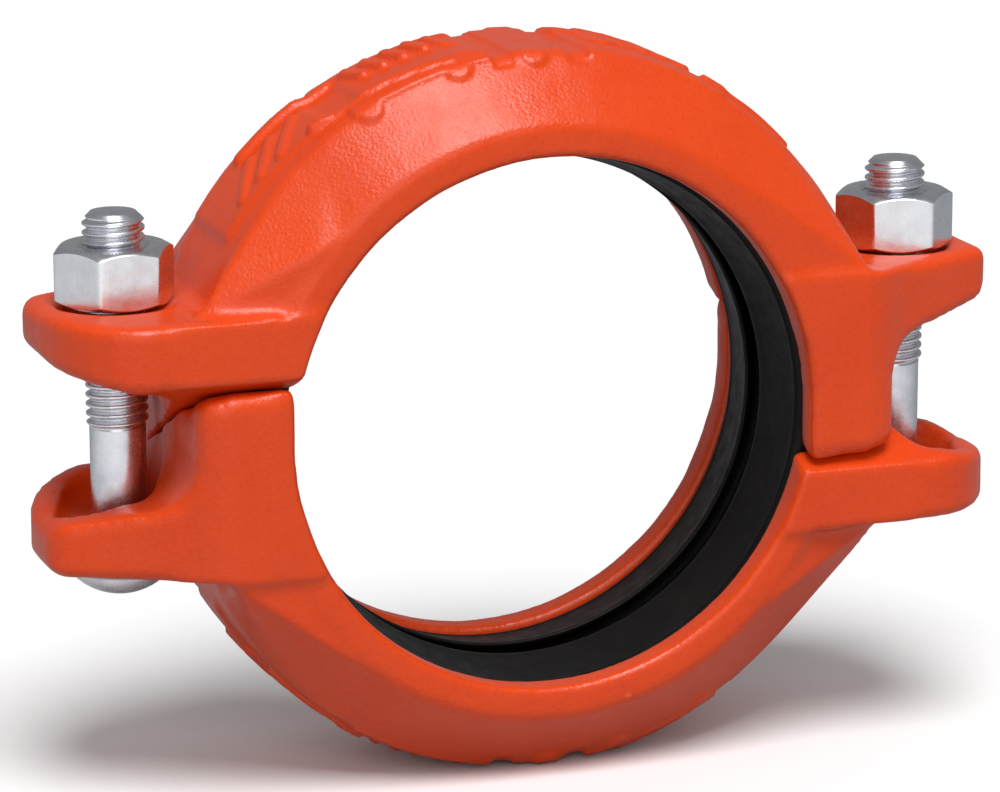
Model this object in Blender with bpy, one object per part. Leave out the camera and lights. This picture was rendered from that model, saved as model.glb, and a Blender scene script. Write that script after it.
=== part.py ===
"""Rigid coupling for 4 in (DN 100) grooved pipe: two housings, a gasket, two bolts and two nuts.

The origin is the centre of the bore. +Y runs along the pipe, +X from the left bolt to the right
one, and +Z up through the upper housing and along the bolts. Each housing is unchanged by a half
turn about Z, and the lower one is the upper one turned half way round about Y.
"""
import math

import bmesh
import bpy
from mathutils import Matrix, Vector

MM = 0.001
TAU = 2.0 * math.pi

# Bore and gasket cavity
KEY_RADIUS = 55.2 * MM
BORE_CHAMFER = 0.6 * MM
CAVITY_RADIUS = 67.4 * MM
CAVITY_HALF = 20.2 * MM

# Ring section
RING_HALF = 27.2 * MM
BAND_RADIUS = 61.6 * MM
CROWN_RADIUS = 75.4 * MM
CROWN_HALF = 15.0 * MM
FACE_FILLET = 4.0 * MM
CROWN_FILLET = 4.5 * MM
RING_STEPS = 96

# Raised pads on the crown: the angles they span, their two sides along the pipe, their height
PADS = (
    (125.0, 148.0, -10.0 * MM, 13.5 * MM, 1.0 * MM),
    (98.5, 118.0, -11.0 * MM, 11.0 * MM, 0.8 * MM),
    (57.0, 81.5, -11.0 * MM, 11.0 * MM, 0.5 * MM),
    (31.0, 53.5, 1.0 * MM, 13.5 * MM, 1.0 * MM),
)
PAD_SINK = 1.5 * MM
PAD_STEP = 3.75

# Lugs and pillars, with their inclined mating faces
LUG_HALF = 28.0 * MM
LUG_TOP = 27.0 * MM
LUG_INNER = 50.0 * MM
LUG_NOSE = 102.6 * MM
LUG_SHOULDER_X = 84.0 * MM
LUG_ROOT_Z = 11.8 * MM
LUG_TIP_Z = 15.4 * MM
LUG_TIP_RADIUS = 5.2 * MM
LUG_EDGE_BEVEL = 2.2 * MM
NOSE_RADIUS = 7.0 * MM
NOSE_CENTRE_Y = -6.5 * MM
NOSE_CUT_HEIGHT = 1.6 * MM
NOSE_CUT_LENGTH = 3.0 * MM
PILLAR_OUTER_X = 77.0 * MM
PILLAR_FOOT_DROP = 2.0 * MM
SLANT_BLEND = tuple(
    (x * MM, y * MM)
    for x, y in ((77.0, -23.6), (74.3, -25.45), (71.5, -27.05), (68.1, -28.0))
)
PILLAR_WALL = tuple(
    (x * MM, y * MM)
    for x, y in (
        (71.6, -28.0), (73.6, -26.8), (75.2, -23.0), (76.3, -12.0), (77.0, 8.0), (76.5, 24.0), (71.6, 28.0)
    )
)
FLARE_ANGLES = (0, 25, 45, 62, 78, 90)
FLARE_RADIUS = 9.0 * MM
MATING_RISE = 14.1 * MM
MATING_GAP = 0.4 * MM

# Webs between the ring and the right-hand lug: the points of the front edge (mm, y away from the
# pipe's centre), and the angles between which the web meets the crown
WEBS = (
    (1, ((26.3, 26.8, 53.9), (50.4, 26.8, 39.4), (65.8, 23.4, 30.4), (74.0, 21.5, 27.3)), (64.0, 33.0)),
    (-1, ((31.7, 26.8, 52.6), (48.0, 26.8, 42.4), (60.6, 26.8, 32.6), (67.6, 26.8, 28.2)), (59.0, 26.0)),
)
WEB_HALF = 26.8 * MM
WEB_SINK = 0.2 * MM
WEB_BASE_Z = 20.0 * MM

# Bolts and nuts, 1/2-13 UNC
BOLT_X = 85.1 * MM
SEAT_Z = 26.2 * MM
SEAT_RADIUS = 13.1 * MM
SEAT_DISH_RADIUS = 13.7 * MM
SEAT_DISH_DEPTH = 1.0 * MM
SOCKET_RADIUS = 15.3 * MM
SOCKET_Z = 28.0 * MM
SLOT_HALF_WIDTH = 7.3 * MM
SLOT_INNER_X = 76.0 * MM
SLOT_OUTER_X = 96.5 * MM
SHANK_RADIUS = 5.75 * MM
THREAD_RADIUS = 6.35 * MM
THREAD_START_Z = 2.6 * MM
BOLT_TOP_Z = 45.3 * MM
BOLT_CHAMFER = 1.7 * MM
HEAD_RADIUS = 12.0 * MM
HEAD_HEIGHT = 7.3 * MM
HEAD_DOME_RADIUS = 13.5 * MM
HEAD_RIM = 1.2 * MM
NECK_HALF_WIDTH = 6.3 * MM
NECK_HALF_LENGTH = 8.3 * MM
NECK_HEIGHT = 9.0 * MM
NUT_ACROSS_FLATS = 22.0 * MM
NUT_HEIGHT = 12.1 * MM
NUT_BORE_RADIUS = 6.65 * MM
NUT_FACE_RADIUS = 10.5 * MM
NUT_TURN_LEFT = math.radians(2.5)
NUT_TURN_RIGHT = math.radians(46.5)
REST_GAP = 0.3 * MM

# Hollow round the bolt on a lug's mating side
POCKET_CEILING_Z = 19.5 * MM
POCKET_INNER_X = 79.0 * MM
POCKET_NOSE = (90.3 * MM, 0.0)
POCKET_NOSE_RADIUS = 7.9 * MM
POCKET_REAR = (86.4 * MM, 13.6 * MM)
POCKET_REAR_RADIUS = 6.6 * MM
POCKET_REAR_Y = 17.0 * MM

# Gasket
GASKET_RADIUS = 66.1 * MM
GASKET_DROP = 1.0 * MM
GASKET_HALF = 19.7 * MM
LIP_EDGE_RADIUS = 55.2 * MM
LIP_TIP_RADIUS = 53.1 * MM
LIP_TIP_Y = 3.6 * MM
LIP_CHAMFER_HEIGHT = 1.6 * MM
LIP_CHAMFER_WIDTH = 1.4 * MM
LIP_END_WIDTH = 0.9 * MM
LIP_END_HEIGHT = 1.5 * MM
LIP_THICKNESS = 3.4 * MM
GASKET_CHAMFER = 1.0 * MM
CHANNEL_HALF = 13.5 * MM
CHANNEL_RADIUS = 61.6 * MM

FAR = 60.0 * MM
MATING_SLOPE = MATING_RISE / LUG_HALF


def clear_scene():
    for old in list(bpy.data.objects):
        bpy.data.objects.remove(old, do_unlink=True)


def material(name, colour, roughness, metallic):
    """A Principled material of one colour."""
    made = bpy.data.materials.new(name)
    made.use_nodes = True
    shader = made.node_tree.nodes["Principled BSDF"]
    shader.inputs["Base Color"].default_value = (*colour, 1.0)
    shader.inputs["Roughness"].default_value = roughness
    shader.inputs["Metallic"].default_value = metallic
    return made


def as_object(name, mesh_source):
    """Turn a bmesh into an object with outward faces."""
    bmesh.ops.recalc_face_normals(mesh_source, faces=mesh_source.faces)
    mesh = bpy.data.meshes.new(name)
    mesh_source.to_mesh(mesh)
    mesh_source.free()
    made = bpy.data.objects.new(name, mesh)
    bpy.context.scene.collection.objects.link(made)
    return made


def arc(centre, radius, start, end, steps):
    """Points on an arc, from start to end in degrees."""
    angles = [math.radians(start + (end - start) * k / steps) for k in range(steps + 1)]
    return [(centre[0] + radius * math.cos(a), centre[1] + radius * math.sin(a)) for a in angles]


def fillet(corner, before, after, radius, steps):
    """Points that round a corner between two straight runs."""
    here = Vector(corner)
    to_before = (Vector(before) - here).normalized()
    to_after = (Vector(after) - here).normalized()
    half = to_before.angle(to_after) / 2.0
    reach = radius / math.tan(half)
    centre = here + (to_before + to_after).normalized() * radius / math.sin(half)
    first = here + to_before * reach - centre
    last = here + to_after * reach - centre
    return [tuple(centre + first.slerp(last, k / steps) * radius) for k in range(steps + 1)]


def skinned(name, rings, closed=False):
    """Join rings of equally many points into one solid; a closed one joins its last ring to its first."""
    made = bmesh.new()
    loops = [[made.verts.new(point) for point in ring] for ring in rings]
    pairs = list(zip(loops, loops[1:]))
    if closed:
        pairs.append((loops[-1], loops[0]))
    else:
        made.faces.new(loops[0])
        made.faces.new(loops[-1])
    count = len(loops[0])
    for low, high in pairs:
        for k in range(count):
            after = (k + 1) % count
            made.faces.new((low[k], low[after], high[after], high[k]))
    return as_object(name, made)


def circle(axis, along, radius, steps, centre_x=0.0):
    """Points round an axis parallel to Y or Z."""
    turns = [TAU * k / steps for k in range(steps)]
    if axis == "Y":
        return [(radius * math.cos(a), along, radius * math.sin(a)) for a in turns]
    return [(centre_x + radius * math.cos(a), radius * math.sin(a), along) for a in turns]


def turned(name, profile, axis, steps, ring=False, centre_x=0.0):
    """Turn (along, radius) points about an axis. A ring's profile is a closed loop."""
    rings = [circle(axis, along, radius, steps, centre_x) for along, radius in profile]
    return skinned(name, rings, ring)


def prism(name, outline, axis, low, high):
    """Extrude an outline along X, Y or Z. Its points are (Y, Z), (X, Z) or (X, Y)."""
    if axis == "X":
        rings = [[(level, y, z) for y, z in outline] for level in (low, high)]
    elif axis == "Y":
        rings = [[(x, level, z) for x, z in outline] for level in (low, high)]
    else:
        rings = [[(x, y, level) for x, y in outline] for level in (low, high)]
    return skinned(name, rings)


def hull(name, points):
    """The convex solid around the points."""
    made = bmesh.new()
    for point in points:
        made.verts.new(point)
    bmesh.ops.convex_hull(made, input=made.verts)
    return as_object(name, made)


def bake(target):
    """Replace the object's mesh with its evaluated one and drop its modifiers."""
    graph = bpy.context.evaluated_depsgraph_get()
    graph.update()
    mesh = bpy.data.meshes.new_from_object(target.evaluated_get(graph))
    target.modifiers.clear()
    target.data = mesh


def combine(target, tool, operation):
    """Join, cut or intersect the target with a tool, and remove the tool."""
    boolean = target.modifiers.new(operation.lower(), "BOOLEAN")
    boolean.operation = operation
    boolean.object = tool
    boolean.solver = "EXACT"
    bake(target)
    bpy.data.objects.remove(tool, do_unlink=True)


def soften(target, width, segments, angle):
    """Bevel the edges that are sharper than the angle."""
    bevel = target.modifiers.new("bevel", "BEVEL")
    bevel.width = width
    bevel.segments = segments
    bevel.limit_method = "ANGLE"
    bevel.angle_limit = math.radians(angle)
    bake(target)


def half_turned(source, name, axis):
    """A copy of an object, turned half way round an axis."""
    copy = bpy.data.objects.new(name, source.data.copy())
    copy.data.transform(Matrix.Rotation(math.pi, 4, axis))
    bpy.context.scene.collection.objects.link(copy)
    return copy


def ring_solid():
    """The ring's outside as one turned solid: flat faces, sloping shoulders and the crown."""
    face = (RING_HALF, BAND_RADIUS)
    shoulder = (CROWN_HALF, CROWN_RADIUS)
    side = fillet(face, (RING_HALF, 0.0), shoulder, FACE_FILLET, 3)
    side += fillet(shoulder, face, (0.0, CROWN_RADIUS), CROWN_FILLET, 3)
    profile = [(-y, r) for y, r in side] + [(y, r) for y, r in reversed(side)]
    return turned("ring", profile, "Y", RING_STEPS)


def crown_pad(start, end, near, far, height):
    """A raised pad on the crown between two angles, measured from +X towards +Z."""
    steps = round((end - start) / PAD_STEP)
    outer = arc((0.0, 0.0), CROWN_RADIUS + height, start, end, steps)
    inner = arc((0.0, 0.0), CROWN_RADIUS - PAD_SINK, end, start, steps)
    return prism("pad", outer + inner, "Y", near, far)


def lug_plan():
    """The right-hand lug seen from above: wide beyond the pipe's centre, slanting in on the near side."""
    half_x = LUG_NOSE - LUG_SHOULDER_X
    wide = [(LUG_SHOULDER_X + half_x * x, LUG_HALF * y) for x, y in arc((0.0, 0.0), 1.0, 90, 0, 7)]
    nose = arc((LUG_NOSE - NOSE_RADIUS, NOSE_CENTRE_Y), NOSE_RADIUS, 0, -62, 4)
    slant = list(SLANT_BLEND)
    return [(LUG_INNER, LUG_HALF)] + wide + nose + slant + [(LUG_INNER, -LUG_HALF)]


def lug():
    """The right-hand lug: a side profile cut to the plan."""
    centre = (LUG_NOSE - LUG_TIP_RADIUS, LUG_TIP_Z + LUG_TIP_RADIUS)
    side = [
        (LUG_INNER, LUG_TOP),
        (LUG_INNER, LUG_ROOT_Z),
        (PILLAR_OUTER_X + FLARE_RADIUS, LUG_ROOT_Z + MM),
        *arc(centre, LUG_TIP_RADIUS, -80, 0, 4),
        (LUG_NOSE, LUG_TOP - NOSE_CUT_HEIGHT),
        (LUG_NOSE - NOSE_CUT_LENGTH, LUG_TOP),
    ]
    made = prism("lug", side, "Y", -FAR, FAR)
    combine(made, prism("plan", lug_plan(), "Z", -FAR, FAR), "INTERSECT")
    soften(made, LUG_EDGE_BEVEL, 2, 40)
    return made


def pillar_ring(height, flare):
    """The right-hand pillar's outline at a height, its outer wall moved out by the flare."""
    inside = [(LUG_INNER, LUG_HALF, height), (LUG_INNER, -LUG_HALF, height)]
    return [(x + flare, y, height) for x, y in PILLAR_WALL] + inside


def pillar():
    """The right-hand pillar, flaring into the underside of the lug."""
    foot = -MATING_RISE - PILLAR_FOOT_DROP
    start = LUG_ROOT_Z + MM - FLARE_RADIUS
    rings = [pillar_ring(foot, 0.0)]
    for angle in FLARE_ANGLES:
        reach = math.radians(angle)
        height = start + FLARE_RADIUS * math.sin(reach)
        rings.append(pillar_ring(height, FLARE_RADIUS * (1.0 - math.cos(reach))))
    made = skinned("pillar", rings)
    combine(made, prism("plan", lug_plan(), "Z", -FAR, FAR), "INTERSECT")
    return made


def web(side, edge, ends):
    """The web that carries the ring's sloping shoulder down to the right-hand lug."""
    front = [(x * MM, side * y * MM, z * MM) for x, y, z in edge]
    low = front[-1]
    foot = [(low[0], low[1], WEB_BASE_Z), (LUG_INNER, side * WEB_HALF, WEB_BASE_Z)]
    crown = arc((0.0, 0.0), CROWN_RADIUS - WEB_SINK, ends[0], ends[1], 6)
    crown += [(LUG_INNER, WEB_BASE_Z)]
    return hull("web", front + foot + [(x, side * CROWN_HALF, z) for x, z in crown])


def pipe_void():
    """The bore between the keys and the gasket's cavity: an arch, straight below the pipe's centre."""
    side = [
        (FAR, KEY_RADIUS + BORE_CHAMFER),
        (RING_HALF, KEY_RADIUS + BORE_CHAMFER),
        (RING_HALF - BORE_CHAMFER, KEY_RADIUS),
        (CAVITY_HALF, KEY_RADIUS),
        (CAVITY_HALF, CAVITY_RADIUS),
    ]
    levels = [(-y, r) for y, r in side] + [(y, r) for y, r in reversed(side)]
    rings = []
    for y, radius in levels:
        arch = [(-radius, -FAR)] + arc((0.0, 0.0), radius, 180, 0, RING_STEPS // 2) + [(radius, -FAR)]
        rings.append([(x, y, z) for x, z in arch])
    return skinned("void", rings)


def below_mating_face(side):
    """Everything below the inclined mating face on the side of +X (1) or -X (-1)."""
    rise = side * MATING_SLOPE * FAR
    lift = MATING_GAP / 2.0
    outline = [(-FAR, -rise + lift), (FAR, rise + lift), (FAR, -2.0 * FAR), (-FAR, -2.0 * FAR)]
    ends = sorted((0.0, side * 2.0 * FAR))
    return prism("below", outline, "X", ends[0], ends[1])


def oval(centre_x, half_length, half_width, steps):
    """A long round-ended outline along X."""
    straight = half_length - half_width
    right = arc((centre_x + straight, 0.0), half_width, -90, 90, steps)
    left = arc((centre_x - straight, 0.0), half_width, 90, 270, steps)
    return right + left


def bolt_slot(side):
    """The oval bolt hole through a lug."""
    centre = side * (SLOT_INNER_X + SLOT_OUTER_X) / 2.0
    half_length = (SLOT_OUTER_X - SLOT_INNER_X) / 2.0
    return prism("slot", oval(centre, half_length, SLOT_HALF_WIDTH, 8), "Z", -FAR, FAR)


def pocket():
    """The hollow round the bolt on the mating side of the right-hand lug."""
    outline = arc(POCKET_NOSE, POCKET_NOSE_RADIUS, -90, 20, 6)
    outline += arc(POCKET_REAR, POCKET_REAR_RADIUS, 20, 110, 5)
    outline += [(POCKET_INNER_X, POCKET_REAR_Y), (POCKET_INNER_X, -POCKET_NOSE_RADIUS)]
    return prism("pocket", outline, "Z", -FAR, POCKET_CEILING_Z)


def seat(side):
    """The shallow round dish that a nut or a bolt head bears in, with room above it for a socket."""
    profile = [
        (SEAT_Z, SEAT_RADIUS),
        (SEAT_Z + SEAT_DISH_DEPTH, SEAT_DISH_RADIUS),
        (SOCKET_Z, SOCKET_RADIUS),
        (2.0 * FAR, SOCKET_RADIUS),
    ]
    return turned("seat", profile, "Z", 32, centre_x=side * BOLT_X)


def upper_housing():
    """One cast housing, with its lugs on +X and -X."""
    body = ring_solid()
    for pad in PADS:
        combine(body, crown_pad(*pad), "UNION")
    right = lug()
    combine(right, pillar(), "UNION")
    left = half_turned(right, "lug_left", "Z")
    combine(body, right, "UNION")
    combine(body, left, "UNION")
    for side, edge, ends in WEBS:
        made = web(side, edge, ends)
        opposite = half_turned(made, "web_left", "Z")
        combine(body, made, "UNION")
        combine(body, opposite, "UNION")
    for side in (-1, 1):
        combine(body, below_mating_face(side), "DIFFERENCE")
    combine(body, pipe_void(), "DIFFERENCE")
    hollow = pocket()
    combine(body, half_turned(hollow, "pocket_left", "Z"), "DIFFERENCE")
    combine(body, hollow, "DIFFERENCE")
    for side in (-1, 1):
        combine(body, seat(side), "DIFFERENCE")
        combine(body, bolt_slot(side), "DIFFERENCE")
    body.name = "upper_housing"
    return body


def gasket():
    """The rubber ring: a C section whose two lips point at each other round the pipe."""
    side = [
        (GASKET_HALF - GASKET_CHAMFER, GASKET_RADIUS),
        (GASKET_HALF, GASKET_RADIUS - GASKET_CHAMFER),
        (GASKET_HALF, LIP_EDGE_RADIUS + LIP_CHAMFER_HEIGHT),
        (GASKET_HALF - LIP_CHAMFER_WIDTH, LIP_EDGE_RADIUS),
        (LIP_TIP_Y, LIP_TIP_RADIUS),
        (LIP_TIP_Y + LIP_END_WIDTH, LIP_TIP_RADIUS + LIP_END_HEIGHT),
        (CHANNEL_HALF, LIP_EDGE_RADIUS + LIP_THICKNESS),
        (CHANNEL_HALF - GASKET_CHAMFER, CHANNEL_RADIUS),
    ]
    profile = side + [(-y, r) for y, r in reversed(side)]
    made = turned("gasket", profile, "Y", RING_STEPS, ring=True)
    made.location.z = -GASKET_DROP
    return made


def bolt(name, side):
    """A track-head bolt: domed head, oval neck, plain shank and threaded end."""
    crown_z = -SEAT_Z - REST_GAP - HEAD_HEIGHT
    centre_z = crown_z + HEAD_DOME_RADIUS
    rim = math.degrees(math.acos((HEAD_DOME_RADIUS - HEAD_HEIGHT + HEAD_RIM + 0.3 * MM) / HEAD_DOME_RADIUS))
    dome = arc((centre_z, 0.0), HEAD_DOME_RADIUS, 177.0, 180.0 - rim, 4)
    profile = dome + [
        (-SEAT_Z - REST_GAP - HEAD_RIM, HEAD_RADIUS),
        (-SEAT_Z - REST_GAP, HEAD_RADIUS),
        (-SEAT_Z - REST_GAP, SHANK_RADIUS),
        (THREAD_START_Z - 0.6 * MM, SHANK_RADIUS),
        (THREAD_START_Z, THREAD_RADIUS),
        (BOLT_TOP_Z - BOLT_CHAMFER, THREAD_RADIUS),
        (BOLT_TOP_Z, THREAD_RADIUS - BOLT_CHAMFER),
    ]
    made = turned(name, profile, "Z", 32, centre_x=side * BOLT_X)
    neck_low = -SEAT_Z - REST_GAP - MM
    neck_outline = oval(side * BOLT_X, NECK_HALF_LENGTH, NECK_HALF_WIDTH, 8)
    neck = prism("neck", neck_outline, "Z", neck_low, neck_low + NECK_HEIGHT)
    combine(made, neck, "UNION")
    return made


def nut(name, side, turn):
    """A heavy hex nut with chamfered corners, its origin on the bolt's axis."""
    half = NUT_HEIGHT / 2.0
    corner = NUT_ACROSS_FLATS / math.sqrt(3.0)
    drop = (corner + MM - NUT_FACE_RADIUS) * math.tan(math.radians(30.0))
    angles = [turn + math.radians(60.0) * k for k in range(6)]
    outline = [(corner * math.cos(a), corner * math.sin(a)) for a in angles]
    made = prism(name, outline, "Z", -half, half)
    cone = [(half - drop, corner + MM), (half, NUT_FACE_RADIUS)]
    chamfers = [(-z, r) for z, r in reversed(cone)] + cone
    combine(made, turned("chamfer", chamfers, "Z", 48), "INTERSECT")
    sink = NUT_BORE_RADIUS + 0.7 * MM
    mouth = [(half + MM, sink), (half, sink), (half - 0.7 * MM, NUT_BORE_RADIUS)]
    bore = [(-z, r) for z, r in mouth] + list(reversed(mouth))
    combine(made, turned("bore", bore, "Z", 32), "DIFFERENCE")
    made.location = (side * BOLT_X, 0.0, SEAT_Z + REST_GAP + half)
    return made


def finish(made, look):
    """Give a piece its one material, and shade its round faces smooth."""
    made.data.materials.clear()
    made.data.materials.append(look)
    made.data.shade_smooth()
    made.data.set_sharp_from_angle(angle=math.radians(30.0))


def build():
    clear_scene()
    enamel = material("orange_enamel", (0.78, 0.085, 0.02), 0.38, 0.0)
    enamel_lower = material("orange_enamel_lower", (0.76, 0.08, 0.02), 0.38, 0.0)
    rubber = material("black_rubber", (0.012, 0.011, 0.011), 0.55, 0.0)
    zinc_bolt = material("zinc_plated_bolt", (0.62, 0.66, 0.72), 0.3, 1.0)
    zinc_nut = material("zinc_plated_nut", (0.66, 0.69, 0.74), 0.28, 1.0)

    upper = upper_housing()
    finish(upper, enamel)
    finish(half_turned(upper, "lower_housing", "Y"), enamel_lower)
    finish(gasket(), rubber)
    finish(bolt("bolt_left", -1), zinc_bolt)
    finish(bolt("bolt_right", 1), zinc_bolt)
    finish(nut("nut_left", -1, NUT_TURN_LEFT), zinc_nut)
    finish(nut("nut_right", 1, NUT_TURN_RIGHT), zinc_nut)


build()
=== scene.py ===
"""The visual model of a rigid coupling for grooved pipe: cast housings, seal, bolts and nuts."""
import math

import bpy
import numpy as np
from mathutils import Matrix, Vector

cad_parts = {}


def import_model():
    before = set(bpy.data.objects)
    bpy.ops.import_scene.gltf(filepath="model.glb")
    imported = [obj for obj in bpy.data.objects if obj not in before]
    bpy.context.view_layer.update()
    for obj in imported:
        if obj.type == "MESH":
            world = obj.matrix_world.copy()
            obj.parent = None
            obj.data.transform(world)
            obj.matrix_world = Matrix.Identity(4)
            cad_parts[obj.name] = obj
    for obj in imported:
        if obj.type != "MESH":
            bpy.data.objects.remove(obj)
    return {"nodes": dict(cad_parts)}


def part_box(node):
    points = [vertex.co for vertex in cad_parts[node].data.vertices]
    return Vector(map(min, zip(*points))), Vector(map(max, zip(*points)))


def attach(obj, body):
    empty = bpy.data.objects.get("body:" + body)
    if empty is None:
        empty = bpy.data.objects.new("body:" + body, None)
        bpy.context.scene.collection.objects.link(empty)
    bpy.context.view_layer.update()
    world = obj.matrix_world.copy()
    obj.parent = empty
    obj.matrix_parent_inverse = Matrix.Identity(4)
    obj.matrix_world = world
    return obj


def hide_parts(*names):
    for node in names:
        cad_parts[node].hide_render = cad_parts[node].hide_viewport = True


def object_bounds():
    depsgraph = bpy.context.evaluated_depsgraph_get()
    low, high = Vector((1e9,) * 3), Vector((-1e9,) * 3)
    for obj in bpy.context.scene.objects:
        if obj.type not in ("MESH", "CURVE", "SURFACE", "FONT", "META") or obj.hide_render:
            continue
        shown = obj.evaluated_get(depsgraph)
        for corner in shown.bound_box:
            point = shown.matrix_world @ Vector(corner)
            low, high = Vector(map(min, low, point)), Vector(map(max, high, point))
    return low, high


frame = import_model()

import openvdb
from mathutils import Matrix, Vector

CAD_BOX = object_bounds()

MM = 0.001
TAU = 2.0 * math.pi

# Sizes in millimetres, in the frame's axes: +Y along the pipe, +Z along the bolts
BOLT_X = 85.1
SEAT_Z = 26.2
REST_GAP = 0.3
SHANK_RADIUS = 5.72
THREAD_RADIUS = 6.33
THREAD_PITCH = 25.4 / 13.0
THREAD_DEPTH = 0.92
THREAD_START_Z = 2.0
THREAD_RUN_IN = 1.2
TURN_STEPS = 12.0
BOLT_TOP_Z = 45.3
END_RADIUS = 4.6
HEAD_RADIUS = 12.0
HEAD_HEIGHT = 7.3
HEAD_DOME_RADIUS = 13.5
HEAD_RIM = 1.5
NECK_HALF_WIDTH = 6.3
NECK_HALF_LENGTH = 8.3
NECK_HEIGHT = 9.0
ROUND_STEPS = 96
BOLT_CREASE = 50.0
NUT_FLATS = 22.0
NUT_HEIGHT = 12.1
NUT_FACE_RADIUS = 10.4
NUT_BORE_RADIUS = 6.68
NUT_SIDE_STEPS = 16
NUT_CORNER_CUT = 0.16
NUT_CHAMFER = math.radians(30.0)
NUT_MOUTH = 0.85
NUT_RIM = 0.12
NUT_RIDGE_SHARE = 0.75
NUT_CREASE = 24.0
NUT_TURN_LEFT = math.radians(2.5)
NUT_TURN_RIGHT = math.radians(46.5)
SEAL_STEPS = 256
CROWN_RADIUS = 75.4
CROWN_HALF = 15.0

# Half of the seal's section: the outer corner as (in from the side face, in from the outer radius),
# the side as (in from the side face, radius), and the lip and channel as (out from the middle, radius)
SEAL_BACK = ((2.6, 0.1), (1.2, 0.35), (0.35, 1.2), (0.02, 2.6))
SEAL_FLANK = (
    (0.0, 60.0), (0.02, 57.4), (0.25, 56.5), (0.8, 55.75),
    (1.5, 55.35), (2.0, 55.25), (2.4, 55.38), (2.9, 55.36),
)
SEAL_LIP = (
    (12.0, 54.65), (7.6, 53.9), (5.4, 53.42), (4.7, 53.2), (4.1, 53.14), (3.7, 53.3), (3.65, 53.7),
    (4.1, 54.3), (8.0, 56.4), (12.4, 58.2), (13.3, 59.0), (13.4, 60.2), (12.6, 61.3), (10.0, 61.7),
    (0.0, 61.7),
)

# Casting detail: voxel size, radius of the inside roundings, and of the outside ones by zone
VOXEL = 0.6
INSIDE_ROUNDING = 2.6
RING_ROUNDING = 0.9
LUG_ROUNDING = 1.9
PILLAR_ROUNDING = 3.2
LUG_START_X = 77.0
PILLAR_START_X = 54.0
PILLAR_END_X = 82.0
PILLAR_FRONT = 13.0
PILLAR_TOP_Z = 16.0
CAST_WAVE = 0.04

# Cast marks on the crown, laid out as (angle in degrees from +X, distance across from the middle)
PANELS = (
    ((97.5, 121.5), (-16.0, -6.8), 0.6),
    ((57.5, 81.5), (-16.0, -9.0), 0.45),
)
SCALLOPS = (91.0, 103.4, 118.8)
SCALLOP_V = -16.0
SCALLOP_WIDTH = 5.6
SCALLOP_RISE = 0.6
SCALLOP_REACH = 1.5
RIBS = (
    ((103.5, -12.9), (127.0, -9.4), 2.6, 1.3),
    ((120.0, 9.6), (137.0, 9.2), 2.8, 1.3),
    ((133.0, -7.0), (127.5, 4.0), 2.6, 0.8),
    ((137.5, -7.0), (132.0, 4.0), 2.6, 0.8),
    ((142.0, -7.0), (136.5, 4.0), 2.6, 0.8),
)
BLOCKS = (101.5, 105.0, 108.5, 112.0, 115.5)
BLOCK_LEAN = 0.7
BLOCK_SIDES = (1.5, 8.0)
BLOCK_WIDTH = 3.0
BLOCK_RISE = 1.3
NOTCHES = ((82.0, 85.0), (94.5, 97.5))
NOTCH_SIDES = (-18.0, 15.0)
NOTCH_DEPTH = 0.6
MARK_SOFTNESS = 1.1
RELIEF_RADIUS = 66.0

# Surroundings
FLOOR_REACH = 9000.0
FLOOR_GAP = 0.2
FLOOR_SEEN = (0.96, 0.96, 0.96)
FLOOR_BOUNCED = (0.36, 0.36, 0.36)
FLOOR_MIRRORED_DIM = (0.30, 0.31, 0.33)
FLOOR_MIRRORED_BRIGHT = (0.93, 0.93, 0.93)
FLOOR_BRIGHT_SIDE = (-0.35, -0.93, 0.0)
WORLD_FRONT = (-0.45, -0.85, -0.15)
WORLD_DIM = 0.28
WORLD_BRIGHT = 0.38
WORLD_COLOR = (0.97, 0.98, 1.0, 1.0)

# Camera
CAMERA_AZIMUTH = math.radians(18.945)
CAMERA_ELEVATION = math.radians(13.599)
CAMERA_ROLL = math.radians(-0.171)
CAMERA_DISTANCE = 0.9865
CAMERA_SLIDE = (-0.003122, 0.000186)
CAMERA_LENS = 170.79


# ---------------------------------------------------------------- meshes

def link(name, points, faces):
    """A smooth-shaded mesh object from points in millimetres."""
    mesh = bpy.data.meshes.new(name)
    mesh.from_pydata((np.asarray(points) * MM).tolist(), [], faces)
    mesh.validate()
    mesh.update()
    mesh.shade_smooth()
    made = bpy.data.objects.new(name, mesh)
    bpy.context.scene.collection.objects.link(made)
    return made


def lofted(name, rings, closed=False):
    """Join rings of points; an open loft is capped at both ends by a fan."""
    rings = np.asarray(rings, float)
    count, around = rings.shape[:2]
    points = list(rings.reshape(-1, 3))
    faces = []
    last = count if closed else count - 1
    for row in range(last):
        below = row * around
        above = ((row + 1) % count) * around
        for k in range(around):
            after = (k + 1) % around
            faces.append((below + k, below + after, above + after, above + k))
    if not closed:
        for row, flip in ((0, True), (count - 1, False)):
            centre = len(points)
            points.append(rings[row].mean(0))
            for k in range(around):
                after = (k + 1) % around
                pair = (after, k) if flip else (k, after)
                faces.append((row * around + pair[0], row * around + pair[1], centre))
    return link(name, points, faces)


def sharpen(piece, degrees):
    """Keep the edges over an angle crisp."""
    piece.data.set_sharp_from_angle(angle=math.radians(degrees))


# ---------------------------------------------------------------- castings

def grid_of(points, triangles, quads, outside, inside):
    """A signed-distance grid of a closed mesh, with the given bands in millimetres."""
    return openvdb.FloatGrid.createLevelSetFromPolygons(
        points.astype(np.float32),
        triangles=triangles.astype(np.uint32),
        quads=quads.astype(np.uint32),
        transform=openvdb.createLinearTransform(VOXEL),
        exBandWidth=outside / VOXEL + 2.0,
        inBandWidth=inside / VOXEL + 2.0,
    )


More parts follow.
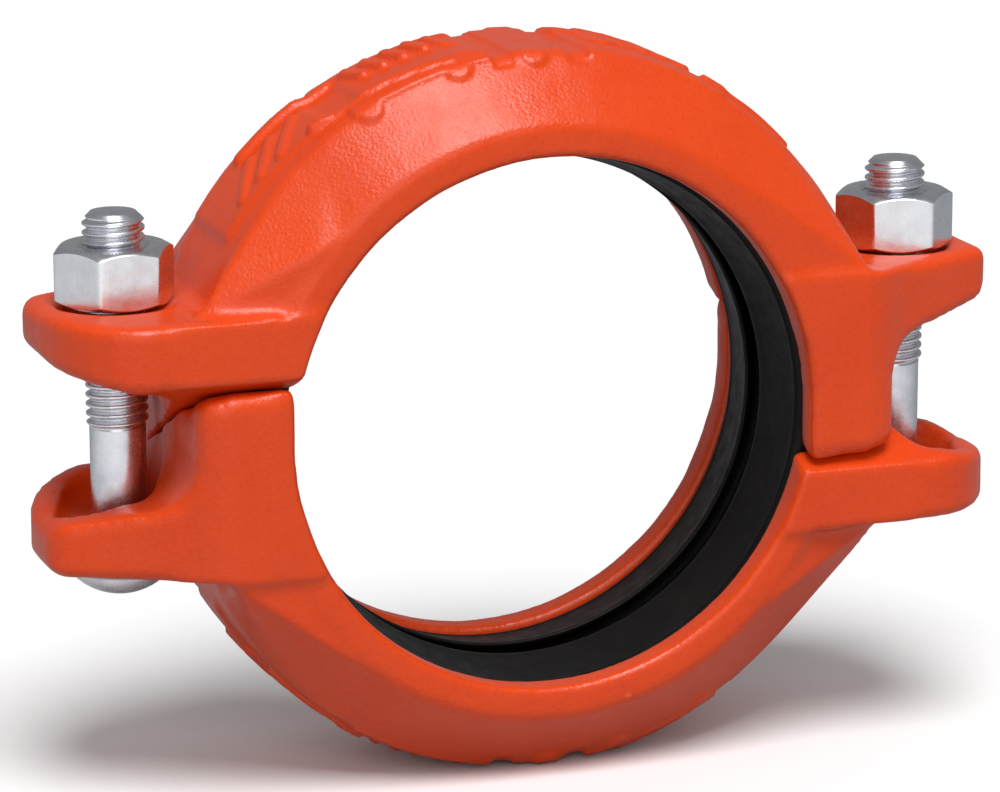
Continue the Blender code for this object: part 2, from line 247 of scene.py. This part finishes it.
def moved_surface(surface, distance):
    """The surface moved out (or in, if negative) along its normals, as a rolling ball would."""
    reach = abs(distance) + 1.0
    grid = grid_of(*surface, reach, reach)
    return grid.convertToPolygons(distance, 0.0)


def cad_surface(node):
    """A CAD node's points in millimetres and its triangles."""
    mesh = frame["nodes"][node].data
    mesh.calc_loop_triangles()
    points = np.empty(len(mesh.vertices) * 3, np.float32)
    mesh.vertices.foreach_get("co", points)
    corners = np.empty(len(mesh.loop_triangles) * 3, np.int32)
    mesh.loop_triangles.foreach_get("vertices", corners)
    no_quads = np.zeros((0, 4), np.uint32)
    return points.reshape(-1, 3) / MM, corners.reshape(-1, 3), no_quads


def ease(value):
    """A smooth step from 0 to 1."""
    t = np.clip(value, 0.0, 1.0)
    return t * t * (3.0 - 2.0 * t)


def arc_length(angle):
    """Distance round the crown, in millimetres, of an angle in degrees."""
    return math.radians(angle) * CROWN_RADIUS


def panel(u, v, angles, sides, soft=MARK_SOFTNESS):
    """1 inside a rectangle on the unrolled crown, 0 outside, with a soft edge."""
    low, high = arc_length(angles[0]), arc_length(angles[1])
    along = ease((u - low) / soft + 0.5) * ease((high - u) / soft + 0.5)
    across = ease((v - sides[0]) / soft + 0.5) * ease((sides[1] - v) / soft + 0.5)
    return along * across


def bar(u, v, start, end, width, soft=MARK_SOFTNESS):
    """1 inside a round-ended bar between two (angle, across) points on the unrolled crown."""
    u0, v0 = arc_length(start[0]), start[1]
    du, dv = arc_length(end[0]) - u0, end[1] - v0
    share = np.clip(((u - u0) * du + (v - v0) * dv) / (du * du + dv * dv), 0.0, 1.0)
    gap = np.hypot(u - u0 - share * du, v - v0 - share * dv)
    return ease((width / 2.0 - gap) / soft + 0.5)


def marks(u, v):
    """Height of the cast panels, scallops, ribs and blocks on the unrolled crown."""
    height = np.zeros_like(u + v)
    for angles, sides, rise in PANELS:
        height = np.maximum(height, rise * panel(u, v, angles, sides))
    for angle in SCALLOPS:
        start, end = (angle, SCALLOP_V), (angle, SCALLOP_V + SCALLOP_REACH)
        height = np.maximum(height, SCALLOP_RISE * bar(u, v, start, end, SCALLOP_WIDTH))
    for start, end, width, rise in RIBS:
        height = np.maximum(height, rise * bar(u, v, start, end, width))
    for angle in BLOCKS:
        start, end = (angle - BLOCK_LEAN, BLOCK_SIDES[0]), (angle + BLOCK_LEAN, BLOCK_SIDES[1])
        height = np.maximum(height, BLOCK_RISE * bar(u, v, start, end, BLOCK_WIDTH))
    for angles in NOTCHES:
        height = height - NOTCH_DEPTH * panel(u, v, angles, NOTCH_SIDES)
    return height


def crown_relief(x, y, z):
    """Height of the cast marks; the casting is the same after a half turn about Z."""
    radius = np.hypot(x, z)
    down = (np.abs(y) - CROWN_HALF + CROWN_RADIUS - radius) / math.sqrt(2.0)
    v = np.where(np.abs(y) < CROWN_HALF, y, np.sign(y) * (CROWN_HALF + np.maximum(down, 0.0)))
    turn = np.arctan2(z, x)
    near = marks(turn * CROWN_RADIUS, v)
    far = marks((math.pi - turn) * CROWN_RADIUS, -v)
    height = np.where(np.abs(near) > np.abs(far), near, far)
    return height * ease((radius - RELIEF_RADIUS) / 3.0)


def cast_wave(x, y, z):
    """The slow unevenness of a sand casting, never above the nominal surface."""
    wave = np.sin(0.31 * x + 0.23 * y) * np.sin(0.27 * z - 0.19 * y + 1.3)
    wave = wave + 0.6 * np.sin(0.61 * x - 0.43 * z + 0.7) * np.sin(0.52 * y + 0.37 * z)
    return CAST_WAVE * (wave - 1.6)


def zones(x, y, z):
    """Shares of the lug rounding and of the pillar rounding, the same after a half turn about Z."""
    out = np.abs(x)
    along = y * np.sign(x)
    lug_share = ease((out - LUG_START_X) / 5.0)
    bore_side = 0.4 + 0.6 * ease((out - PILLAR_START_X) / 12.0)
    beside = bore_side * ease((PILLAR_END_X - out) / 4.0)
    pillar_share = beside * ease((-along - PILLAR_FRONT) / 4.0) * ease((PILLAR_TOP_Z - z) / 5.0)
    return lug_share, pillar_share


def rounded_field(grown, radius, low, shape):
    """Distances from the casting whose inner corners are filled and whose outer edges are rounded."""
    inset = moved_surface(grown, -INSIDE_ROUNDING - radius)
    grid = grid_of(*inset, radius + 4.0, 1.0)
    field = np.zeros(shape, np.float32)
    grid.copyToArray(field, ijk=tuple(int(v) for v in low))
    return field - radius


def casting(node):
    """The CAD housing with a foundry's roundings, raised marks and slight unevenness."""
    surface = cad_surface(node)
    points = surface[0]
    low = np.floor(points.min(0) / VOXEL).astype(int) - 6
    high = np.ceil(points.max(0) / VOXEL).astype(int) + 7
    axes = [np.arange(low[k], high[k], dtype=np.float32) * VOXEL for k in range(3)]
    x, y, z = np.meshgrid(*axes, indexing="ij", sparse=True)
    lug_share, pillar_share = zones(x, y, z)
    grown = moved_surface(surface, INSIDE_ROUNDING)
    field = rounded_field(grown, RING_ROUNDING, low, high - low)
    field += lug_share * (rounded_field(grown, LUG_ROUNDING, low, high - low) - field)
    field += pillar_share * (rounded_field(grown, PILLAR_ROUNDING, low, high - low) - field)
    field -= crown_relief(x, y, z)
    field -= cast_wave(x, y, z)
    field = np.maximum(field, np.abs(z) - CAD_BOX[1][2] / MM).astype(np.float32)
    result = openvdb.FloatGrid(float(field.max()))
    result.transform = openvdb.createLinearTransform(VOXEL)
    result.copyFromArray(field, ijk=tuple(int(v) for v in low))
    points, triangles, quads = result.convertToPolygons(0.0, 0.0)
    return points, triangles.tolist() + quads.tolist()


def housings():
    """The upper housing, and the lower one as the same casting turned half round about Y."""
    points, faces = casting("upper_housing")
    upper = link("upper_housing_casting", points, [tuple(reversed(f)) for f in faces])
    turned = points * np.array([-1.0, 1.0, -1.0], np.float32)
    lower = link("lower_housing_casting", turned, [tuple(reversed(f)) for f in faces])
    return upper, lower


# ---------------------------------------------------------------- fasteners

def around(count):
    """Angles spaced evenly round a circle."""
    return np.arange(count) * TAU / count


def circle(radius, height, turn):
    """A ring of points about the Z axis; radius may vary round the ring."""
    radius = np.broadcast_to(radius, turn.shape)
    height = np.broadcast_to(height, turn.shape)
    return np.stack([radius * np.cos(turn), radius * np.sin(turn), height], 1)


def thread_depth(turn, height):
    """How far a right-hand thread is cut in from its crests, at an angle and height."""
    phase = (height / THREAD_PITCH - turn / TAU) % 1.0
    flank = np.abs(phase - 0.5) * 2.0
    return THREAD_DEPTH * ease((flank - 0.16) / 0.72)


def oval_radius(turn, half_length, half_width):
    """Distance from the axis to a round-ended oval."""
    straight = half_length - half_width
    along, across = np.abs(np.cos(turn)), np.abs(np.sin(turn))
    side = half_width / np.maximum(across, 1e-6)
    spread = np.maximum(half_width**2 - (straight * across) ** 2, 0.0)
    end = straight * along + np.sqrt(spread)
    return np.where(side * along <= straight, side, end)


def bolt_head(under, turn):
    """The domed head, from the middle of its crown to its flat underside."""
    centre = under - HEAD_HEIGHT + HEAD_DOME_RADIUS
    rim = math.acos((HEAD_DOME_RADIUS - HEAD_HEIGHT + HEAD_RIM) / HEAD_DOME_RADIUS)
    rings = []
    for share in np.linspace(0.06, 1.0, 14):
        radius = HEAD_DOME_RADIUS * math.sin(rim * share)
        rings.append(circle(radius, centre - HEAD_DOME_RADIUS * math.cos(rim * share), turn))
    for inset, height in ((0.35, 1.35), (0.08, 1.1), (0.0, 0.8), (0.0, 0.35), (0.15, 0.1), (0.45, 0.0)):
        rings.append(circle(HEAD_RADIUS - inset, under - height, turn))
    return rings


def bolt_neck(under, turn):
    """The oval neck that keeps the bolt from turning, and its step down to the shank."""
    neck = oval_radius(turn, NECK_HALF_LENGTH, NECK_HALF_WIDTH)
    top = NECK_HEIGHT - 1.8
    rings = []
    for grow, height in ((0.5, 0.0), (0.15, 0.12), (0.0, 0.5), (0.0, top), (-0.2, top + 0.5)):
        rings.append(circle(neck + grow, under + height, turn))
    for share in (0.35, 0.7, 1.0):
        radius = neck + (SHANK_RADIUS - neck) * share
        rings.append(circle(radius, under + NECK_HEIGHT - 1.0 + 0.25 * share, turn))
    return rings


def bolt_thread(turn):
    """The rolled thread, running in from the shank and out at the chamfered end."""
    rings = []
    for height in np.arange(THREAD_START_Z - THREAD_RUN_IN, BOLT_TOP_Z - 0.02, THREAD_PITCH / TURN_STEPS):
        grown = ease((height - THREAD_START_Z + THREAD_RUN_IN) / 1.6)
        crest = SHANK_RADIUS + (THREAD_RADIUS - SHANK_RADIUS) * grown
        cut = thread_depth(turn, height) * grown
        chamfer = END_RADIUS + BOLT_TOP_Z - height
        rings.append(circle(np.minimum(crest - cut, chamfer), height, turn))
    for share, drop in ((0.97, 0.06), (0.86, 0.02), (0.5, 0.0)):
        rings.append(circle(END_RADIUS * share, BOLT_TOP_Z - drop, turn))
    return rings


def bolt(name, side):
    """A track-head bolt with a domed head, an oval neck and a rolled thread."""
    turn = around(ROUND_STEPS)
    under = -SEAT_Z - REST_GAP
    rings = bolt_head(under, turn) + bolt_neck(under, turn)
    rings.append(circle(SHANK_RADIUS, under + NECK_HEIGHT, turn))
    rings.append(circle(SHANK_RADIUS, THREAD_START_Z - THREAD_RUN_IN - 0.2, turn))
    rings = np.asarray(rings + bolt_thread(turn))
    rings[:, :, 0] += side * BOLT_X
    piece = lofted(name, rings)
    sharpen(piece, BOLT_CREASE)
    return piece


def nut_face(hexagon, half, sign, turn):
    """One end of a nut: the flat face, then the chamfer down to the corners."""
    drop = np.maximum(hexagon - NUT_FACE_RADIUS, 0.0) * math.tan(NUT_CHAMFER)
    return [
        circle(NUT_FACE_RADIUS - 2.0, sign * half, turn),
        circle(NUT_FACE_RADIUS - 0.35, sign * half, turn),
        circle(NUT_FACE_RADIUS + 0.1, sign * (half - 0.07), turn),
        circle((NUT_FACE_RADIUS + hexagon) / 2.0, sign * (half - drop / 2.0), turn),
        circle(hexagon - 0.12, sign * (half - drop + 0.02), turn),
        circle(hexagon, sign * (half - drop - 0.14), turn),
    ]


def nut(name, side, start):
    """A heavy hex nut: chamfered corners, washer-free faces and an inside thread."""
    side_turn = math.radians(60.0)
    spread = (1.0 - np.cos(np.arange(NUT_SIDE_STEPS) / NUT_SIDE_STEPS * math.pi)) / 2.0
    turn = np.concatenate([side_turn * (k + spread) for k in range(6)])
    hexagon = NUT_FLATS / 2.0 / np.cos(turn % side_turn - side_turn / 2.0)
    hexagon = np.minimum(hexagon, NUT_FLATS / math.sqrt(3.0) - NUT_CORNER_CUT)
    half = NUT_HEIGHT / 2.0
    turn = turn + start
    rings = []
    for sign in (-1.0, 1.0):
        block = nut_face(hexagon, half, sign, turn)
        rings += block if sign < 0.0 else list(reversed(block))
    mouth = NUT_BORE_RADIUS + NUT_MOUTH
    rings += [circle(mouth + NUT_RIM, half, turn), circle(mouth, half - 0.08, turn)]
    for height in np.arange(half - 0.2, -half + 0.1, -THREAD_PITCH / TURN_STEPS):
        ridge = THREAD_DEPTH - thread_depth(turn, height + SEAT_Z + REST_GAP + half)
        inner = NUT_BORE_RADIUS - NUT_RIDGE_SHARE * ridge + 0.1
        flare = mouth - (half - abs(height))
        rings.append(circle(np.maximum(inner, flare), height, turn))
    rings += [circle(mouth, -half + 0.08, turn), circle(mouth + NUT_RIM, -half, turn)]
    rings = np.asarray(rings)
    rings[:, :, 0] += side * BOLT_X
    rings[:, :, 2] += SEAT_Z + REST_GAP + half
    piece = lofted(name, rings, closed=True)
    sharpen(piece, NUT_CREASE)
    return piece


# ---------------------------------------------------------------- seal

def gasket():
    """The moulded ring: a C section with rounded lips and narrow sealing beads."""
    low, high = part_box("gasket")
    centre_z = (low.z + high.z) / 2.0 / MM
    outer = (high.z - low.z) / 2.0 / MM
    half = high.y / MM
    side = [(0.0, outer - 0.25), (6.0, outer - 0.2)]
    side += [(half - inset, outer - drop) for inset, drop in SEAL_BACK]
    side += [(half - inset, r) for inset, r in SEAL_FLANK]
    side += SEAL_LIP
    profile = side + [(-y, r) for y, r in reversed(side[1:-1])]
    turn = around(SEAL_STEPS)
    rings = []
    for y, r in profile:
        rings.append(np.stack([r * np.cos(turn), np.full_like(turn, y), r * np.sin(turn) + centre_z], 1))
    return lofted("gasket_ring", rings, closed=True)


# ---------------------------------------------------------------- materials

class Nodes:
    """A material's node tree, with short calls for the nodes used here."""

    def __init__(self, name):
        self.material = bpy.data.materials.new(name)
        self.material.use_nodes = True
        self.tree = self.material.node_tree
        self.shader = self.tree.nodes["Principled BSDF"]
        self.place = self.tree.nodes.new("ShaderNodeTexCoord").outputs["Object"]

    def join(self, source, target):
        self.tree.links.new(source, target)

    def noise(self, scale, detail=3.0, roughness=0.55):
        """Noise whose scale is in cycles per metre."""
        node = self.tree.nodes.new("ShaderNodeTexNoise")
        node.inputs["Scale"].default_value = scale
        node.inputs["Detail"].default_value = detail
        node.inputs["Roughness"].default_value = roughness
        self.join(self.place, node.inputs["Vector"])
        return node.outputs["Fac"]

    def spread(self, value, low, high, to_low=0.0, to_high=1.0):
        node = self.tree.nodes.new("ShaderNodeMapRange")
        node.inputs["From Min"].default_value = low
        node.inputs["From Max"].default_value = high
        node.inputs["To Min"].default_value = to_low
        node.inputs["To Max"].default_value = to_high
        self.join(value, node.inputs["Value"])
        return node.outputs["Result"]

    def mix(self, share, first, second):
        """A colour between two, each a colour or a socket."""
        node = self.tree.nodes.new("ShaderNodeMix")
        node.data_type = "RGBA"
        for key, value in (("A", first), ("B", second)):
            socket = [s for s in node.inputs if s.name == key and s.type == "RGBA"][0]
            if isinstance(value, tuple):
                socket.default_value = (*value, 1.0)
            else:
                self.join(value, socket)
        self.join(share, node.inputs["Factor"])
        return [s for s in node.outputs if s.type == "RGBA"][0]

    def edges(self, low, high):
        """1 on outer edges and 0 elsewhere, from the mesh's own curvature."""
        node = self.tree.nodes.new("ShaderNodeNewGeometry")
        return self.spread(node.outputs["Pointiness"], low, high)

    def bump(self, heights):
        """Chain (height socket, strength, distance) bumps into the shader's normal."""
        normal = None
        for height, strength, distance in heights:
            node = self.tree.nodes.new("ShaderNodeBump")
            node.inputs["Strength"].default_value = strength
            node.inputs["Distance"].default_value = distance
            self.join(height, node.inputs["Height"])
            if normal is not None:
                self.join(normal, node.inputs["Normal"])
            normal = node.outputs["Normal"]
        self.join(normal, self.shader.inputs["Normal"])

    def color(self, socket):
        self.join(socket, self.shader.inputs["Base Color"])

    def rough(self, socket):
        self.join(socket, self.shader.inputs["Roughness"])


def enamel(name, tone):
    """Orange enamel over a sand casting: orange peel, a painted highlight on the outer edges and painted
    shade in the hollows.
    """
    n = Nodes(name)
    base = (0.78 * tone, 0.064 * tone, 0.004)
    # Darker orange, used for the fine orange-peel grain and for painted shade in the hollows
    deep_grain_and_hollow_shade = (0.56 * tone, 0.036 * tone, 0.003)
    # Lighter, yellower orange: a painted highlight laid on the outer edges
    edge_highlight = (0.84 * tone, 0.095 * tone, 0.018)
    mottle = n.spread(n.noise(45.0, 4.0), 0.35, 0.7)
    shade = n.mix(mottle, base, (0.73 * tone, 0.055 * tone, 0.003))
    fine = n.spread(n.noise(900.0, 3.0), 0.5, 0.75, 0.0, 0.35)
    shade = n.mix(fine, shade, deep_grain_and_hollow_shade)
    # Painted highlight: the outer edges are lightened
    shade = n.mix(n.edges(0.53, 0.60), shade, edge_highlight)
    # Painted shade: the hollows and inner corners are darkened
    shade = n.mix(n.spread(n.edges(0.47, 0.40), 0.0, 1.0, 0.0, 0.8), shade, deep_grain_and_hollow_shade)
    n.color(shade)
    n.rough(n.spread(n.noise(160.0, 3.0), 0.3, 0.7, 0.28, 0.39))
    n.bump([(n.noise(160.0, 1.0), 0.05, 0.0010), (n.noise(1400.0, 1.5), 0.38, 0.00026)])
    n.shader.inputs["Specular IOR Level"].default_value = 0.38
    return n.material


def zinc(name, blue):
    """Bright zinc plate: blue-white, with faint tool marks, dull patches, a painted highlight on the outer
    edges and painted shade in the hollows.
    """
    n = Nodes(name)
    n.shader.inputs["Metallic"].default_value = 1.0
    patches = n.spread(n.noise(220.0, 4.0), 0.35, 0.7)
    shade = n.mix(patches, (0.72, 0.73, 0.76 + blue), (0.60, 0.615, 0.655 + blue))
    # Painted highlight: the outer edges are lightened
    shade = n.mix(n.edges(0.52, 0.60), shade, (0.84, 0.85, 0.87))
    # Painted shade: the hollows, thread roots and inner corners are darkened almost to black
    shade = n.mix(n.edges(0.47, 0.40), shade, (0.16, 0.17, 0.20))
    n.color(shade)
    n.rough(n.spread(n.noise(400.0, 3.0), 0.3, 0.7, 0.20, 0.34))
    n.bump([(n.noise(900.0, 2.0), 0.10, 0.0001), (n.noise(220.0, 2.0), 0.08, 0.0003)])
    return n.material


def rubber(name):
    """Black moulded rubber with a satin skin, a little talc dust and a painted highlight on the outer edges.
    """
    n = Nodes(name)
    dust = n.spread(n.noise(120.0, 5.0), 0.45, 0.8, 0.0, 0.5)
    shade = n.mix(dust, (0.0055, 0.0045, 0.0042), (0.014, 0.011, 0.010))
    # Painted highlight: the lip edges and other outer edges are lightened
    shade = n.mix(n.edges(0.52, 0.62), shade, (0.05, 0.042, 0.04))
    n.color(shade)
    n.rough(n.spread(n.noise(300.0, 3.0), 0.3, 0.7, 0.40, 0.56))
    n.shader.inputs["Specular IOR Level"].default_value = 0.13
    n.bump([(n.noise(900.0, 2.0), 0.2, 0.0002)])
    return n.material


def dress(piece, material):
    piece.data.materials.clear()
    piece.data.materials.append(material)


# ---------------------------------------------------------------- stage

def floor():
    """A wide pale floor under the coupling; it shows white and throws back less light."""
    level = CAD_BOX[0][2] / MM - FLOOR_GAP
    sides = ((-1.0, -1.0), (1.0, -1.0), (1.0, 1.0), (-1.0, 1.0))
    corners = [(x * FLOOR_REACH, y * FLOOR_REACH, level) for x, y in sides]
    made = link("floor", corners, [(0, 1, 2, 3)])
    n = Nodes("pale_floor")
    path = n.tree.nodes.new("ShaderNodeLightPath")
    outward = n.tree.nodes.new("ShaderNodeVectorMath")
    outward.operation = "NORMALIZE"
    n.join(n.place, outward.inputs[0])
    toward = n.tree.nodes.new("ShaderNodeVectorMath")
    toward.operation = "DOT_PRODUCT"
    toward.inputs[1].default_value = FLOOR_BRIGHT_SIDE
    n.join(outward.outputs[0], toward.inputs[0])
    mirrored = n.mix(n.spread(toward.outputs["Value"], -0.7, 0.8), FLOOR_MIRRORED_DIM, FLOOR_MIRRORED_BRIGHT)
    bounced = n.mix(path.outputs["Is Diffuse Ray"], mirrored, FLOOR_BOUNCED)
    n.color(n.mix(path.outputs["Is Camera Ray"], bounced, FLOOR_SEEN))
    n.shader.inputs["Roughness"].default_value = 0.9
    n.shader.inputs["Specular IOR Level"].default_value = 0.0
    dress(made, n.material)


def world():
    """Soft surroundings, bright in front and to the left, dim behind and overhead."""
    made = bpy.data.worlds.new("studio")
    bpy.context.scene.world = made
    made.use_nodes = True
    tree = made.node_tree
    place = tree.nodes.new("ShaderNodeTexCoord")
    toward = tree.nodes.new("ShaderNodeVectorMath")
    toward.operation = "DOT_PRODUCT"
    toward.inputs[1].default_value = WORLD_FRONT
    level = tree.nodes.new("ShaderNodeMapRange")
    level.interpolation_type = "SMOOTHSTEP"
    level.inputs["From Min"].default_value = -0.7
    level.inputs["From Max"].default_value = 0.9
    level.inputs["To Min"].default_value = WORLD_DIM
    level.inputs["To Max"].default_value = WORLD_BRIGHT
    tree.links.new(place.outputs["Generated"], toward.inputs[0])
    tree.links.new(toward.outputs["Value"], level.inputs["Value"])
    tree.links.new(level.outputs["Result"], tree.nodes["Background"].inputs["Strength"])
    tree.nodes["Background"].inputs["Color"].default_value = WORLD_COLOR


def camera():
    """The camera, aimed level with the bore and a little to its left."""
    azimuth, elevation = CAMERA_AZIMUTH, CAMERA_ELEVATION
    back = Vector((
        -math.sin(azimuth) * math.cos(elevation),
        -math.cos(azimuth) * math.cos(elevation),
        math.sin(elevation),
    ))
    right = Vector((math.cos(azimuth), -math.sin(azimuth), 0.0))
    up = back.cross(right)
    place = back * CAMERA_DISTANCE + right * CAMERA_SLIDE[0] + up * CAMERA_SLIDE[1]
    rolled = right * math.cos(CAMERA_ROLL) + up * math.sin(CAMERA_ROLL)
    lens = bpy.data.cameras.new("camera")
    lens.lens = CAMERA_LENS
    lens.sensor_width = 36.0
    lens.clip_start = 0.05
    lens.clip_end = 50.0
    made = bpy.data.objects.new("camera", lens)
    bpy.context.scene.collection.objects.link(made)
    turn = Matrix((rolled, back.cross(rolled), back)).transposed()
    made.matrix_world = Matrix.Translation(place) @ turn.to_4x4()
    bpy.context.scene.camera = made


def sun(name, direction, strength, angle):
    """A soft distant light that shines from a direction."""
    lamp = bpy.data.lights.new(name, "SUN")
    lamp.energy = strength
    lamp.angle = math.radians(angle)
    made = bpy.data.objects.new(name, lamp)
    made.rotation_euler = Vector(direction).to_track_quat("Z", "Y").to_euler()
    bpy.context.scene.collection.objects.link(made)


def lights():
    sun("key", (-0.04, -0.42, 0.90), 2.5, 30.0)
    sun("front", (-0.30, -0.89, 0.32), 0.62, 50.0)


# ---------------------------------------------------------------- assembly

def place_pieces():
    upper, lower = housings()
    pieces = (
        (upper, "upper_housing_body", "upper_housing", "upper_housing", enamel("orange_enamel", 1.0)),
        (lower, "lower_assembly", "lower_housing", "lower_housing", enamel("orange_enamel_lower", 0.98)),
        (gasket(), "lower_assembly", "gasket", "gasket", rubber("black_rubber")),
        (bolt("bolt_left_turned", -1), "lower_assembly", "bolt_left", "bolts", zinc("zinc_plate", 0.01)),
        (bolt("bolt_right_turned", 1), "lower_assembly", "bolt_right", "bolts", zinc("zinc_plate_2", 0.01)),
        (nut("nut_left_hex", -1, NUT_TURN_LEFT), "nut_left_body", "nut_left", "nuts",
         zinc("zinc_nut", 0.0)),
        (nut("nut_right_hex", 1, NUT_TURN_RIGHT), "nut_right_body", "nut_right", "nuts",
         zinc("zinc_nut_2", 0.0)),
    )
    for piece, body, node, slot, material in pieces:
        dress(piece, material)
        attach(piece, body)
        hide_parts(node)


bpy.context.scene.view_settings.view_transform = "Standard"
camera()
world()
lights()
floor()
place_pieces()
